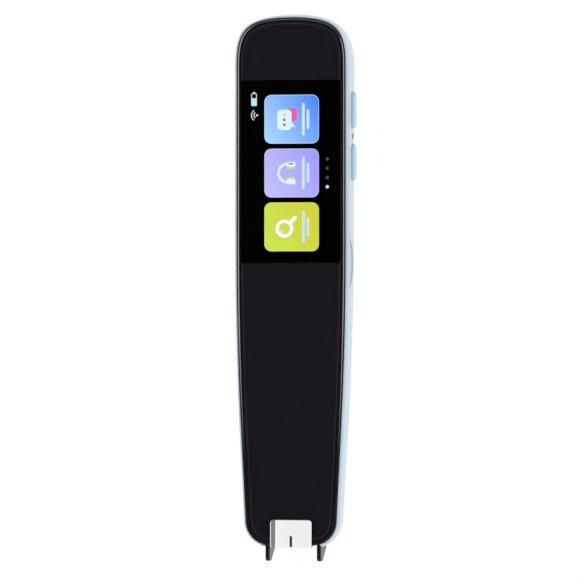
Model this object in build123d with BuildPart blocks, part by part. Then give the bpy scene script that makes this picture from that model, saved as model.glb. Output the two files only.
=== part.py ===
# Handheld scanning pen, lying on its flat back: screen up (+Z), tip towards -Y, keys on the +X side.
# The origin is the middle of the flat back. Lengths are in millimetres.

import os
from math import atan, cos, radians, sin, sqrt, tan

from build123d import *

os.makedirs("parts", exist_ok=True)

# Plan of the pen, measured at the mouth of the shell
mouth_half = 15.87
foot_half = 12.88  # where the tapered sides would meet the tip end
tail_reach = 74.5
tip_reach = 75.0
cap_length = 13.5
cap_crest_share = 0.83
cap_brow_share = 0.74
cap_round_share = 0.3
taper_start = 16.8
taper_blend_r = 1000.0
foot_r = 7.0

# Side profile of the shell
wall = 1.5
bulge = 1.0
widest_z = 6.5
belly_in = 4.2
waist_slim = 0.35
foot_slim = 1.35
foot_round = 1.5
lip_curve_r = 28.0
belly_angles = (90, 72, 54, 36, 18, 0)
lip_shares = (1 / 3, 2 / 3, 1)

# Clearances
fit = 0.05
slip = 0.15
part_gap = 0.45
overrun = 1.0

# Stack under the glass
pen_height = 13.0
glass_thick = 0.8
glass_inset = 0.4
glass_edge_r = 0.5
bond_thick = 0.15
bond_inset = 0.55
frame_thick = 1.2
frame_rib_depth = 0.8
frame_rib_thick = 1.0
frame_rib_inset = 5.2
frame_rib_count = 4
lip_below_glass = 0.55
glass_z = pen_height - glass_thick
frame_top = glass_z - bond_thick
frame_z = frame_top - frame_thick
lip_z = pen_height - lip_below_glass

# Display module
screen_side = 1.15
screen_inset = 17.1
screen_length = 54.8
panel_thick = 1.25
light_guide_thick = 1.15
tray_wall = 0.2
tray_lip = 0.65
screen_half = mouth_half - screen_side
screen_low = tail_reach - screen_inset - screen_length
panel_z = glass_z - panel_thick
light_guide_z = panel_z - light_guide_thick
tray_z = light_guide_z - tray_wall
tray_play = 2 * fit
tray_half = screen_half + tray_play + tray_wall
tray_length = screen_length + 2 * (tray_play + tray_wall)
tray_mid = screen_low + screen_length / 2
tray_low = tray_mid - tray_length / 2

# Notch and throat at the tip
throat_side = 4.38
throat_play = 0.41
throat_trim = 1.6
leg_thick = 1.25
leg_cover = 0.74
notch_length = 7.4
notch_r = 1.0
throat_half = foot_half - throat_side
fork_half = throat_half - throat_play
leg_inner = fork_half - leg_thick
leg_mid_x = fork_half - leg_thick / 2
notch_half = leg_inner - leg_cover
back_notch_half = leg_inner + part_gap
notch_y = notch_length - tip_reach
shell_end_y = -(tip_reach + bulge)

# Window plate and its centre mark
window_reach = 0.6
window_drop = 0.4
window_corner_r = 0.7
window_edge = 0.2
mark_width = 0.7
mark_length = 3.3
mark_depth = 0.15
window_end_y = -(tip_reach + window_reach)
window_top = pen_height - window_drop

# Scanning fork
leg_headroom = 1.05
leg_back_z = 2.0
leg_toe_lift = 5.2
leg_reach = 4.6
leg_edge_r = 0.3
leg_nose_r = 1.1
leg_toe_r = 1.2
leg_heel_r = 3.0
heel_setback = 4.0
crossbar_thick = 1.8
crossbar_gap = 1.0
crossbar_rise = 0.6
fork_travel = 0.6
ear_reach = 0.95
ear_height = 4.0
arm_length = 5.3
arm_height = 3.6
arm_drop = 2.8
arm_pin_r = 0.7
arm_pin_length = 1.2
nub_length = 0.35
scan_window_side = 1.5
scan_window_height = 4.6
scan_window_thick = 0.8
scan_window_lap = 0.5
leg_front_z = frame_z - leg_headroom
leg_toe_z = leg_back_z + leg_toe_lift
crossbar_low_z = leg_back_z + crossbar_rise
crossbar_y = notch_y + crossbar_gap
crossbar_back_y = crossbar_y + crossbar_thick
arm_mid_z = leg_front_z - arm_drop
arm_end_y = crossbar_back_y + arm_length
fork_tip_y = -(tip_reach + leg_reach)
scan_window_half = notch_half - scan_window_side

# Guides in the shell that stop and steer the fork
guide_thick = 1.0
guide_length = 3.8

# Scan head
head_gap = 2.4
head_length = 10.9
head_headroom = 0.7
head_play = 0.7
head_edge_r = 0.8
wing_reach = 3.06
wing_z = 3.8
wing_thick = 1.2
wing_length = 6.6
wing_setback = 0.4
head_screw_inset = 1.4
lens_bore_r = 2.6
lens_bore_depth = 6.4
lens_r = 1.9
lens_thick = 0.8
lens_crown = 0.3
barrel_wall = 0.45
sensor_pocket_half = 3.2
sensor_size = 4.6
sensor_thick = 0.9
sensor_board_half = 5.0
sensor_board_height = 6.6
sensor_board_thick = 0.6
stop_thick = 0.8
led_board_thick = 0.6
led_board_side = 0.3
led_board_height = 6.8
led_width = 1.6
led_thick = 0.6
led_lift = 2.4
head_half = leg_inner - head_play
head_low_y = crossbar_back_y + head_gap
head_back_y = head_low_y + head_length
head_z = wall + fit
head_top = frame_z - head_headroom
lens_z = (head_z + head_top) / 2
wing_top = wing_z + wing_thick
wing_end = head_half + wing_reach
wing_back_y = head_back_y - wing_setback
wing_low_y = wing_back_y - wing_length
head_screw_x = (head_half + wing_end) / 2
head_screw_y = wing_back_y - head_screw_inset

# Return spring and trigger switch
spring_r = 1.0
spring_wire_r = 0.18
spring_turns = 5
stop_gap = 3.6
stop_pin_length = 0.9
trigger_half = 1.0
trigger_length = 2.6
trigger_height = 2.8
trigger_plunger_r = 0.6
trigger_plunger_length = 0.5
stop_y = arm_end_y + stop_gap
trigger_tip_y = arm_end_y + nub_length + fork_travel + fit

# Keys on the side
key_length = 10.2
key_height = 3.2
key_clear = 0.4
key_proud = 0.9
key_edge_r = 0.6
upper_key_inset = 26.2
lower_key_inset = 41.0
talk_key_inset = 69.6
talk_key_chord = 14.0
talk_key_depth = 3.5
talk_key_rise = 1.0
talk_key_recess = 0.45
talk_key_edge_r = 0.2
flange_set = 0.4
flange_thick = 0.7
flange_lap = 0.8
nib_length = 0.1
nib_r = 1.0
key_travel = 0.3
upper_key_y = tail_reach - upper_key_inset
lower_key_y = tail_reach - lower_key_inset
talk_key_y = tail_reach - talk_key_inset
key_top_z = tray_z - key_clear
key_z = key_top_z - key_height / 2
key_face_x = mouth_half + bulge + key_proud
flange_x = mouth_half - flange_set
nib_x = flange_x - flange_thick - nib_length

# Key board, its switches and the microphone
key_plunger_r = 0.8
key_plunger_length = 0.25
key_switch_thick = 0.75
key_switch_length = 4.6
key_switch_height = 2.6
key_board_thick = 0.6
key_board_drop = 2.7
key_rib_depth = 1.2
key_rib_thick = 1.2
microphone_inset = 33.6
microphone_thick = 1.1
microphone_length = 3.0
boot_r = 1.2
sound_hole_r = 0.45
key_plunger_x = nib_x - key_travel - fit
key_switch_x = key_plunger_x - key_plunger_length
key_board_face = key_switch_x - key_switch_thick
key_board_x = key_board_face - key_board_thick
key_board_z = key_top_z - key_height - key_board_drop + key_clear
microphone_y = tail_reach - microphone_inset

# Screws: three pairs hold the frame, two pairs the main board and one pair the scan head
boss_r = 1.7
post_r = 1.5
screw_r = 0.6
screw_head_r = 1.35
screw_head_h = 0.55
screw_length = 4.5
screw_play = 0.02
hole_play = 0.15
tail_screw_inset_x = 4.45
tail_screw_inset_y = 8.5
waist_screw_inset_x = 2.9
tip_screw_inset_x = 2.6
tip_screw_inset_y = 15.0
tail_screw = (mouth_half - tail_screw_inset_x, tail_reach - tail_screw_inset_y)
talk_flange_low = talk_key_y - talk_key_chord / 2 - flange_lap - slip
waist_screw_y = min(tray_low, talk_flange_low) - part_gap - boss_r
waist_screw = (mouth_half - waist_screw_inset_x, waist_screw_y)
tip_screw = (foot_half - tip_screw_inset_x, tip_screw_inset_y - tip_reach)
frame_screw_places = [(side * x, y) for side in (-1, 1) for x, y in (tail_screw, waist_screw, tip_screw)]
head_screw_places = [(side * head_screw_x, head_screw_y) for side in (-1, 1)]
frame_screw_seat = frame_top - screw_head_h - fit

# Main board
board_thick = 0.8
can_height = 1.2
can_clear = 0.3
can_wall = 0.2
can_width = 18.0
can_length = 22.0
can_inset = 22.0
board_gap_y = 5.5
board_corner_r = 1.0
post_inset_x = 2.0
post_inset_y = 3.0
board_z = tray_z - can_clear - can_height - board_thick
board_top = board_z + board_thick
board_half = key_board_x - fit - key_rib_depth - part_gap
board_low = head_back_y + board_gap_y
board_shoulder = tail_screw[1] - boss_r - part_gap
board_tab_half = tail_screw[0] - boss_r - part_gap
post_places = [
    (side * (board_half - post_inset_x), y)
    for side in (-1, 1)
    for y in (board_low + post_inset_y, board_shoulder - post_inset_y)
]
can_y = board_shoulder - can_inset - can_length / 2
chip_size = 10.0
chip_height = 0.8
memory_size = 6.0
connector_thick = 0.7
connector_length = 2.4
connector_width = 11.0

# USB-C receptacle at the tail
usb_width = 8.94
usb_height = 3.26
usb_length = 6.8
usb_wall = 0.3
usb_recess = 0.35
usb_seat = 2.1
usb_tongue_width = 6.7
usb_tongue_thick = 0.7
usb_tongue_setback = 0.9
usb_z = board_z - usb_height / 2
usb_end_y = tail_reach + bulge - usb_recess - usb_wall
usb_back_y = usb_end_y - usb_length
board_end = usb_back_y + usb_seat

# Speaker and its grille in the back
speaker_length = 14.0
speaker_setback = 0.6
speaker_headroom = 1.0
speaker_edge_r = 1.0
speaker_mesh_thick = 0.2
speaker_gasket_thick = 0.4
speaker_gasket_width = 1.2
grille_pitch = 1.9
grille_hole_r = 0.5
grille_columns = 5
grille_rows = 4
speaker_half = board_half - post_inset_x - post_r - 2 * part_gap
speaker_y = board_shoulder - speaker_setback - speaker_length / 2
speaker_z = wall + speaker_mesh_thick + speaker_gasket_thick
speaker_top = board_z - speaker_headroom

# Wireless module, battery and its leads
module_length = 11.0
module_half = 6.0
module_height = 2.2
module_gap = 2.5
lead_room = 9.0
protection_length = 2.6
protection_thick = 0.8
protection_rise = 2.0
lead_r = 0.45
lead_spread = 2.0
lead_bend_r = 0.7
foam_thick = 0.4
foam_inset = 1.5
battery_side = 0.6
battery_gap = 0.3
battery_edge_r = 1.6
module_top_y = speaker_y - speaker_length / 2 - module_gap
module_low_y = module_top_y - module_length
protection_high_y = module_low_y - lead_room
battery_high = protection_high_y - protection_length - fit
battery_low = board_low + post_inset_y + post_r + battery_gap + screw_head_r
battery_mid = (battery_low + battery_high) / 2
battery_half = board_half - battery_side
battery_z = wall + foam_thick
battery_top = board_z - battery_gap

# Flexible circuits and the antenna
flex_thick = 0.15
flex_width = 6.0
flex_reach = 1.2
flex_tail = 2.5
flex_bend_r = 0.35
antenna_width = 16.0
antenna_length = 5.0
antenna_thick = 0.2


def pen_plan(grow, slim_share=0):
    """The outline seen from the screen side, with a margin over the mouth and a slimmer tip half."""
    half, foot = mouth_half + grow, foot_half + grow - foot_slim * slim_share
    waist = half - waist_slim * slim_share
    tail, tip = tail_reach + grow, -(tip_reach + grow)
    shoulder = tail_reach - cap_length
    crest = half * cap_crest_share
    brow = shoulder + (tail - shoulder) * (cap_brow_share - cap_round_share * slim_share)
    corner_r = foot_r + grow + foot_round * slim_share
    # The long blend where the taper starts is limited by the room on the tapered side
    taper_run = -taper_start - tip
    bend = atan((waist - foot) / taper_run) - atan((half - waist) / (shoulder + taper_start))
    blend_room_r = (taper_run - corner_r) / tan(bend / 2)
    with BuildSketch() as plan:
        with BuildLine():
            Bezier((-half, shoulder), (-half, brow), (-crest, tail), (0, tail))
            Bezier((0, tail), (crest, tail), (half, brow), (half, shoulder))
            Polyline(
                (half, shoulder),
                (waist, -taper_start),
                (foot, tip),
                (-foot, tip),
                (-waist, -taper_start),
                (-half, shoulder),
            )
        make_face()
        fillet(plan.vertices().group_by(Axis.Y)[0], corner_r)
        bends = plan.vertices().filter_by_position(Axis.Y, -taper_start - fit, -taper_start + fit)
        fillet(bends, min(taper_blend_r, blend_room_r))
    return plan.sketch


def tip_slot(half, top, bottom, top_r):
    """An upright slot on the pen's centre line, with its two upper corners rounded."""
    with BuildSketch() as slot:
        with Locations((0, (top + bottom) / 2)):
            Rectangle(2 * half, top - bottom)
        fillet(slot.vertices().group_by(Axis.Y)[-1], top_r)
    return slot.sketch


def belly_section(angle, floor, reach, depth):
    """One section of the round underside: 90 degrees is the flat, 0 the widest."""
    level = floor + (widest_z - floor) * (1 - sin(radians(angle)))
    with BuildSketch(Plane.XY.offset(level)) as section:
        add(pen_plan(reach - depth * (1 - cos(radians(angle))), 1 - level / lip_z))
    return section.sketch


def across(y):
    """The upright plane across the pen at y. A positive extrusion runs towards the tip."""
    return Plane.XZ.offset(-y)


def half_moon(chord, depth, centre_y, top):
    """A half-moon with its straight edge on top, drawn as seen from the side of the pen."""
    with BuildSketch() as moon:
        with BuildLine():
            ends = (centre_y - chord / 2, top), (centre_y + chord / 2, top)
            Line(*ends)
            ThreePointArc(ends[0], (centre_y, top - depth), ends[1])
        make_face()
    return moon.sketch


# Shell: a light tub with barrel sides, open at the mouth and at the tip
with BuildPart() as back_shell:
    for angle in belly_angles:
        add(belly_section(angle, 0, bulge, belly_in))
    for share in lip_shares:
        above = (lip_z - widest_z) * share
        with BuildSketch(Plane.XY.offset(widest_z + above)):
            lip_margin = bulge - lip_curve_r + sqrt(lip_curve_r**2 - above**2)
            add(pen_plan(lip_margin, (lip_z - widest_z - above) / lip_z))
    loft()

    # The cavity follows the outside up to the widest level, then rises straight to the ledge
    inner_depth = belly_in * (widest_z - wall) / widest_z
    for angle in belly_angles:
        add(belly_section(angle, wall, bulge - wall, inner_depth))
    loft(mode=Mode.SUBTRACT)
    with BuildSketch(Plane.XY.offset(widest_z)):
        add(pen_plan(bulge - wall, 1 - widest_z / lip_z))
    extrude(amount=pen_height, mode=Mode.SUBTRACT)
    with BuildSketch(Plane.XY.offset(frame_z)):
        add(pen_plan(0))
    extrude(amount=pen_height, mode=Mode.SUBTRACT)

    # Screw bosses, board posts and the bosses under the scan head
    with BuildSketch(Plane.XY.offset(wall - fit)):
        with Locations(*frame_screw_places):
            Circle(boss_r)
    extrude(amount=frame_z - wall + fit)
    with BuildSketch(Plane.XY.offset(wall - fit)):
        with Locations(*post_places):
            Circle(post_r)
    extrude(amount=board_z - wall + fit)
    with BuildSketch(Plane.XY.offset(wall - fit)):
        with Locations(*head_screw_places):
            Circle(post_r)
    extrude(amount=wing_z - wall + fit)

    # Guides for the fork on both sides of the throat
    guide_mid_y = crossbar_y - slip - guide_length / 2
    with BuildSketch(Plane.XY.offset(wall - fit)):
        for side in (-1, 1):
            with Locations((side * (fork_half + slip + guide_thick / 2), guide_mid_y)):
                Rectangle(guide_thick, guide_length)
    extrude(amount=leg_front_z - wall)

    # Ribs behind the key board
    key_rib_x = key_board_x - fit - key_rib_depth / 2
    rib_places = [
        (key_rib_x, upper_key_y),
        (key_rib_x, lower_key_y),
        (key_rib_x, (lower_key_y + talk_key_y) / 2 + flex_width),
        (key_rib_x, talk_key_y),
    ]
    with BuildSketch(Plane.XY.offset(wall - fit)):
        with Locations(*rib_places):
            Rectangle(key_rib_depth, key_rib_thick)
    extrude(amount=key_top_z - wall)

    # Pilot holes
    with Locations(*[(x, y, frame_z) for x, y in frame_screw_places]):
        Hole(screw_r + screw_play, screw_length)
    with Locations(*[(x, y, board_z) for x, y in post_places]):
        Hole(screw_r + screw_play, screw_length)
    with Locations(*[(x, y, wing_z) for x, y in head_screw_places]):
        Hole(screw_r + screw_play, wing_z - wall)

    # Tip: see-through notch in the back, and the throat that the fork stands in
    with BuildSketch(Plane.XY.offset(-overrun)):
        add(tip_slot(back_notch_half, notch_y, shell_end_y - overrun, notch_r))
    extrude(amount=pen_height, mode=Mode.SUBTRACT)
    throat_low = shell_end_y - overrun
    throat_high = shell_end_y + wall + throat_trim
    with BuildSketch(Plane.XY.offset(-overrun)):
        with Locations((0, (throat_low + throat_high) / 2)):
            Rectangle(2 * throat_half, throat_high - throat_low)
    extrude(amount=pen_height + 2 * overrun, mode=Mode.SUBTRACT)

    with BuildSketch(Plane.XY.offset(leg_back_z - slip)):
        with Locations((0, (throat_low + crossbar_y) / 2)):
            Rectangle(2 * (fork_half + slip), crossbar_y - throat_low)
    extrude(amount=pen_height, mode=Mode.SUBTRACT)

    # Openings and pockets for the two long keys
    for key_y in (upper_key_y, lower_key_y):
        with BuildSketch(Plane.YZ.offset(flange_x - overrun)):
            with Locations((key_y, key_z)):
                SlotOverall(key_length + 2 * slip, key_height + 2 * slip)
        extrude(amount=key_face_x, mode=Mode.SUBTRACT)
        with BuildSketch(Plane.YZ.offset(nib_x)):
            with Locations((key_y, key_z)):
                Rectangle(key_length + 2 * (flange_lap + slip), key_height + 2 * slip)
        extrude(amount=flange_x + fit - nib_x, mode=Mode.SUBTRACT)

    # The same for the half-moon key
    moon_top_z = key_top_z + talk_key_rise
    with BuildSketch(Plane.YZ.offset(flange_x - overrun)):
        add(half_moon(talk_key_chord + 2 * slip, talk_key_depth + 2 * slip, talk_key_y, moon_top_z + slip))
    extrude(amount=key_face_x, mode=Mode.SUBTRACT)
    moon_low_z = moon_top_z - talk_key_depth
    with BuildSketch(Plane.YZ.offset(nib_x)):
        with Locations((talk_key_y, (key_top_z + moon_low_z) / 2)):
            Rectangle(talk_key_chord + 2 * (flange_lap + slip), key_top_z - moon_low_z + 2 * slip)
    extrude(amount=flange_x + fit - nib_x, mode=Mode.SUBTRACT)

    # Microphone hole, USB-C port and speaker grille
    with BuildSketch(Plane.YZ.offset(nib_x)):
        with Locations((microphone_y, key_z)):
            Circle(sound_hole_r)
    extrude(amount=key_face_x, mode=Mode.SUBTRACT)
    with BuildSketch(across(usb_back_y)):
        with Locations((0, usb_z)):
            SlotOverall(usb_width + 2 * slip, usb_height + 2 * slip)
    extrude(amount=-tail_reach, mode=Mode.SUBTRACT)
    with BuildSketch(Plane.XY.offset(-overrun)):
        with Locations((0, speaker_y)):
            with GridLocations(grille_pitch, grille_pitch, grille_columns, grille_rows):
                Circle(grille_hole_r)
    extrude(amount=wall + 2 * overrun, mode=Mode.SUBTRACT)

# Frame under the glass, screwed to the bosses
with BuildPart() as front_frame:
    with BuildSketch(Plane.XY.offset(frame_z)):
        add(pen_plan(-fit))
        add(tip_slot(notch_half, notch_y, shell_end_y, notch_r), mode=Mode.SUBTRACT)
        with Locations((0, tray_mid)):
            Rectangle(2 * (tray_half + fit), tray_length + 2 * fit, mode=Mode.SUBTRACT)
    extrude(amount=frame_thick)
    rib_high = waist_screw[1] - boss_r
    rib_low = head_back_y + part_gap
    rib_x = foot_half - frame_rib_inset
    rib_mid = (rib_high + rib_low) / 2
    rib_pitch = (rib_high - rib_low - frame_rib_thick) / (frame_rib_count - 1)
    with BuildSketch(Plane.XY.offset(frame_z - frame_rib_depth)):
        for side in (-1, 1):
            with Locations((side * rib_x, rib_mid)):
                Rectangle(frame_rib_thick, rib_high - rib_low)
        with Locations((0, rib_mid)):
            with GridLocations(rib_x, rib_pitch, 1, frame_rib_count):
                Rectangle(2 * rib_x, frame_rib_thick)
    extrude(amount=frame_rib_depth)
    with Locations(*[(x, y, frame_top) for x, y in frame_screw_places]):
        CounterBoreHole(screw_r + hole_play, screw_head_r + hole_play, frame_top - frame_screw_seat)

# Black adhesive between the frame and the glass
with BuildPart() as glass_bond:
    with BuildSketch(Plane.XY.offset(frame_top)):
        add(pen_plan(-bond_inset))
        add(tip_slot(notch_half + part_gap, notch_y + part_gap, shell_end_y, notch_r), mode=Mode.SUBTRACT)
        with Locations((0, tray_mid)):
            Rectangle(2 * (screen_half + fit), screen_length + 2 * fit, mode=Mode.SUBTRACT)
    extrude(amount=bond_thick)

# Cover glass with its rounded rim and the notch over the scanning gap
with BuildPart() as cover_glass:
    with BuildSketch(Plane.XY.offset(glass_z)):
        add(pen_plan(-glass_inset))
    extrude(amount=glass_thick)
    fillet(cover_glass.faces().sort_by(Axis.Z)[-1].edges(), glass_edge_r)
    with BuildSketch(Plane.XY.offset(glass_z)):
        add(tip_slot(notch_half, notch_y, shell_end_y, notch_r))
    extrude(amount=glass_thick, mode=Mode.SUBTRACT)

# Clear plate in the notch, with a groove for the centre mark
with BuildPart() as window_plate:
    with BuildSketch(Plane.XY.offset(frame_z)):
        add(tip_slot(notch_half - fit, notch_y - fit, window_end_y, notch_r - fit))
    extrude(amount=window_top - frame_z)
    fillet(window_plate.edges().filter_by(Axis.Z).group_by(Axis.Y)[0], window_corner_r)
    chamfer(window_plate.faces().sort_by(Axis.Z)[-1].edges(), window_edge)
    with BuildSketch(Plane.XY.offset(window_top - mark_depth)):
        add(tip_slot(mark_width / 2, window_end_y + mark_length, window_end_y, mark_width / 4))
    extrude(amount=mark_depth, mode=Mode.SUBTRACT)

with BuildPart() as centre_mark:
    with BuildSketch(Plane.XY.offset(window_top - mark_depth)):
        add(tip_slot(mark_width / 2, window_end_y + mark_length, window_end_y + window_edge, mark_width / 4))
    extrude(amount=mark_depth)

# Display module: panel, light guide and metal tray
with BuildPart() as display_panel:
    with BuildSketch(Plane.XY.offset(panel_z)):
        with Locations((0, tray_mid)):
            Rectangle(2 * screen_half, screen_length)
    extrude(amount=panel_thick)

with BuildPart() as display_light_guide:
    with BuildSketch(Plane.XY.offset(light_guide_z)):
        with Locations((0, tray_mid)):
            Rectangle(2 * screen_half, screen_length)
    extrude(amount=light_guide_thick)
    chamfer(display_light_guide.edges().filter_by(Axis.Z), tray_play)

with BuildPart() as display_tray:
    with BuildSketch(Plane.XY.offset(tray_z)):
        with Locations((0, tray_mid)):
            Rectangle(2 * tray_half, tray_length)
    extrude(amount=panel_z + tray_lip - tray_z)
    with BuildSketch(Plane.XY.offset(light_guide_z)):
        with Locations((0, tray_mid)):
            Rectangle(2 * (screen_half + tray_play), screen_length + 2 * tray_play)
    extrude(amount=pen_height, mode=Mode.SUBTRACT)

# Fork: two fins joined by a crossbar, with arms back to the spring and the switch
with BuildPart() as scan_fork:
    with BuildSketch(Plane.YZ.offset(leg_inner)) as fin:
        with BuildLine():
            Polyline(
                (crossbar_back_y, leg_front_z),
                (fork_tip_y, leg_front_z),
                (fork_tip_y, leg_toe_z),
                (fork_tip_y + heel_setback, leg_back_z),
                (crossbar_back_y, leg_back_z),
                close=True,
            )
        make_face()
        fillet(fin.vertices().group_by(Axis.X)[0].sort_by(Axis.Y)[-1], leg_nose_r)
        fillet(fin.vertices().group_by(Axis.X)[0].sort_by(Axis.Y)[0], leg_toe_r)
        heel = fin.vertices().filter_by_position(
            Axis.X, fork_tip_y + heel_setback - fit, fork_tip_y + heel_setback + fit
        )
        fillet(heel, leg_heel_r)
    extrude(amount=leg_thick)
    fin_rims = scan_fork.faces().filter_by(Axis.X).edges()
    fillet(fin_rims.filter_by_position(Axis.Y, fork_tip_y - fit, crossbar_back_y - fit), leg_edge_r)
    mirror(about=Plane.YZ)
    with BuildSketch(across(crossbar_y)):
        with Locations((0, (leg_front_z + crossbar_low_z) / 2)):
            Rectangle(2 * (fork_half - leg_edge_r), leg_front_z - crossbar_low_z)
        with Locations((0, arm_mid_z)):
            Rectangle(2 * (fork_half + ear_reach), ear_height)
        with Locations((0, lens_z)):
            Rectangle(2 * scan_window_half, scan_window_height, mode=Mode.SUBTRACT)
    extrude(amount=-crossbar_thick)
    with BuildSketch(across(crossbar_back_y)):
        with Locations((0, lens_z)):
            Rectangle(2 * (scan_window_half + scan_window_lap), scan_window_height + 2 * scan_window_lap)
    extrude(amount=scan_window_thick, mode=Mode.SUBTRACT)
    with BuildSketch(across(crossbar_back_y - crossbar_thick / 2)):
        with Locations((-leg_mid_x, arm_mid_z), (leg_mid_x, arm_mid_z)):
            Rectangle(leg_thick, arm_height)
    extrude(amount=-(arm_length + crossbar_thick / 2))
    with BuildSketch(across(arm_end_y)):
        with Locations((-leg_mid_x, arm_mid_z)):
            Circle(arm_pin_r)
    extrude(amount=-arm_pin_length)
    with BuildSketch(across(arm_end_y)):
        with Locations((leg_mid_x, arm_mid_z)):
            Circle(arm_pin_r)
    extrude(amount=-nub_length)

with BuildPart() as scan_window:
    with BuildSketch(across(crossbar_back_y)):
        with Locations((0, lens_z)):
            Rectangle(
                2 * (scan_window_half + scan_window_lap - fit),
                scan_window_height + 2 * (scan_window_lap - fit),
            )
    extrude(amount=scan_window_thick - fit)

# Scan head: housing with the lens bore, two wings, a spring stop and a sensor pocket
with BuildPart() as head_housing:
    with BuildSketch(Plane.XY.offset(head_z)):
        with Locations((0, head_low_y + head_length / 2)):
            Rectangle(2 * head_half, head_length)
    extrude(amount=head_top - head_z)
    fillet(head_housing.edges().filter_by(Axis.Y).group_by(Axis.Z)[-1], head_edge_r)
    with BuildSketch(Plane.XY.offset(wing_z)):
        with Locations((0, wing_low_y + wing_length / 2)):
            Rectangle(2 * wing_end, wing_length)
    extrude(amount=wing_thick)
    with BuildSketch(Plane.XY.offset(wing_top - fit)):
        with Locations((-(head_half + wing_reach / 2), stop_y + stop_thick / 2)):
            Rectangle(wing_reach, stop_thick)
    extrude(amount=arm_mid_z + arm_height / 2 - wing_top)
    with BuildSketch(across(stop_y)):
        with Locations((-leg_mid_x, arm_mid_z)):
            Circle(arm_pin_r)
    extrude(amount=stop_pin_length)
    with BuildSketch(across(head_low_y)):
        with Locations((0, lens_z)):
            Circle(lens_bore_r)
    extrude(amount=-head_length, mode=Mode.SUBTRACT)
    with BuildSketch(across(head_low_y + lens_bore_depth)):
        with Locations((0, lens_z)):
            Rectangle(2 * sensor_pocket_half, 2 * sensor_pocket_half)
    extrude(amount=-head_length, mode=Mode.SUBTRACT)
    with Locations(*[(x, y, wing_top) for x, y in head_screw_places]):
        Hole(screw_r + hole_play, 2 * wing_thick)

with BuildPart() as lens_barrel:
    with BuildSketch(across(head_low_y)):
        with Locations((0, lens_z)):
            Circle(lens_bore_r - fit)
            Circle(lens_r + fit, mode=Mode.SUBTRACT)
    extrude(amount=-lens_bore_depth)
    with BuildSketch(across(head_low_y + lens_thick + lens_crown + fit)):
        with Locations((0, lens_z)):
            Circle(lens_bore_r - fit)
            Circle(lens_r - barrel_wall, mode=Mode.SUBTRACT)
    extrude(amount=-barrel_wall)

with BuildPart() as lens:
    crown_r = (lens_r**2 + lens_crown**2) / (2 * lens_crown)
    with BuildSketch(across(head_low_y)):
        with Locations((0, lens_z)):
            Circle(lens_r)
    extrude(amount=-(lens_crown + lens_thick))
    with Locations((0, head_low_y + crown_r, lens_z)):
        Sphere(crown_r, mode=Mode.INTERSECT)

with BuildPart() as sensor_board:
    with BuildSketch(across(head_back_y)):
        with Locations((0, lens_z)):
            Rectangle(2 * sensor_board_half, sensor_board_height)
    extrude(amount=-sensor_board_thick)

with BuildPart() as image_sensor:
    with BuildSketch(across(head_back_y)):
        with Locations((0, lens_z)):
            Rectangle(sensor_size, sensor_size)
    extrude(amount=sensor_thick)

with BuildPart() as led_board:
    with BuildSketch(across(head_low_y)):
        with Locations((0, lens_z)):
            Rectangle(2 * (head_half - led_board_side), led_board_height)
            Circle(lens_r, mode=Mode.SUBTRACT)
    extrude(amount=led_board_thick)

with BuildPart() as scan_leds:
    led_x = head_half - led_board_side - led_width
    with BuildSketch(across(head_low_y - led_board_thick)):
        with Locations((0, lens_z)):
            with GridLocations(2 * led_x, 2 * led_lift, 2, 2):
                Rectangle(led_width, led_width / 2)
    extrude(amount=led_thick)

# Return spring between the left arm and its stop
with BuildPart() as return_spring:
    spring_low_y = arm_end_y + spring_wire_r + fit
    spring_rise = stop_gap - 2 * (spring_wire_r + fit)
    with BuildLine() as coil:
        Helix(
            pitch=spring_rise / spring_turns,
            height=spring_rise,
            radius=spring_r,
            center=(-leg_mid_x, spring_low_y, arm_mid_z),
            direction=(0, 1, 0),
        )
    with BuildSketch(Plane(origin=coil.line @ 0, z_dir=coil.line % 0)):
        Circle(spring_wire_r)
    sweep(is_frenet=True)

# Switch that the right arm presses
with BuildPart() as trigger_switch:
    trigger_y = trigger_tip_y + trigger_plunger_length
    with BuildSketch(Plane.XY.offset(wing_top)):
        with Locations((leg_mid_x, trigger_y + trigger_length / 2)):
            Rectangle(2 * trigger_half, trigger_length)
    extrude(amount=trigger_height)
    with BuildSketch(across(trigger_y)):
        with Locations((leg_mid_x, arm_mid_z)):
            Circle(trigger_plunger_r)
    extrude(amount=trigger_plunger_length)

# Keys: a cap through the wall and a flange behind it
long_keys = {}
for name, key_y in (("upper_key", upper_key_y), ("lower_key", lower_key_y)):
    with BuildPart() as key:
        with BuildSketch(Plane.YZ.offset(flange_x - fit)):
            with Locations((key_y, key_z)):
                SlotOverall(key_length, key_height)
        extrude(amount=key_face_x - flange_x + fit)
        fillet(key.faces().sort_by(Axis.X)[-1].edges(), key_edge_r)
        with BuildSketch(Plane.YZ.offset(flange_x)):
            with Locations((key_y, key_z)):
                Rectangle(key_length + 2 * flange_lap, key_height)
        extrude(amount=-flange_thick)
        with BuildSketch(Plane.YZ.offset(nib_x)):
            with Locations((key_y, key_z)):
                Circle(nib_r)
        extrude(amount=nib_length)
    long_keys[name] = key.part

with BuildPart() as talk_key:
    talk_face_x = mouth_half + bulge - talk_key_recess
    with BuildSketch(Plane.YZ.offset(flange_x - fit)):
        add(half_moon(talk_key_chord, talk_key_depth, talk_key_y, moon_top_z))
    extrude(amount=talk_face_x - flange_x + fit)
    fillet(talk_key.faces().sort_by(Axis.X)[-1].edges(), talk_key_edge_r)
    with BuildSketch(Plane.YZ.offset(flange_x)):
        with Locations((talk_key_y, (key_top_z + moon_low_z) / 2)):
            Rectangle(talk_key_chord + 2 * flange_lap, key_top_z - moon_low_z)
    extrude(amount=-flange_thick)
    with BuildSketch(Plane.YZ.offset(nib_x)):
        with Locations((talk_key_y, key_z)):
            Circle(nib_r)
    extrude(amount=nib_length)

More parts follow.
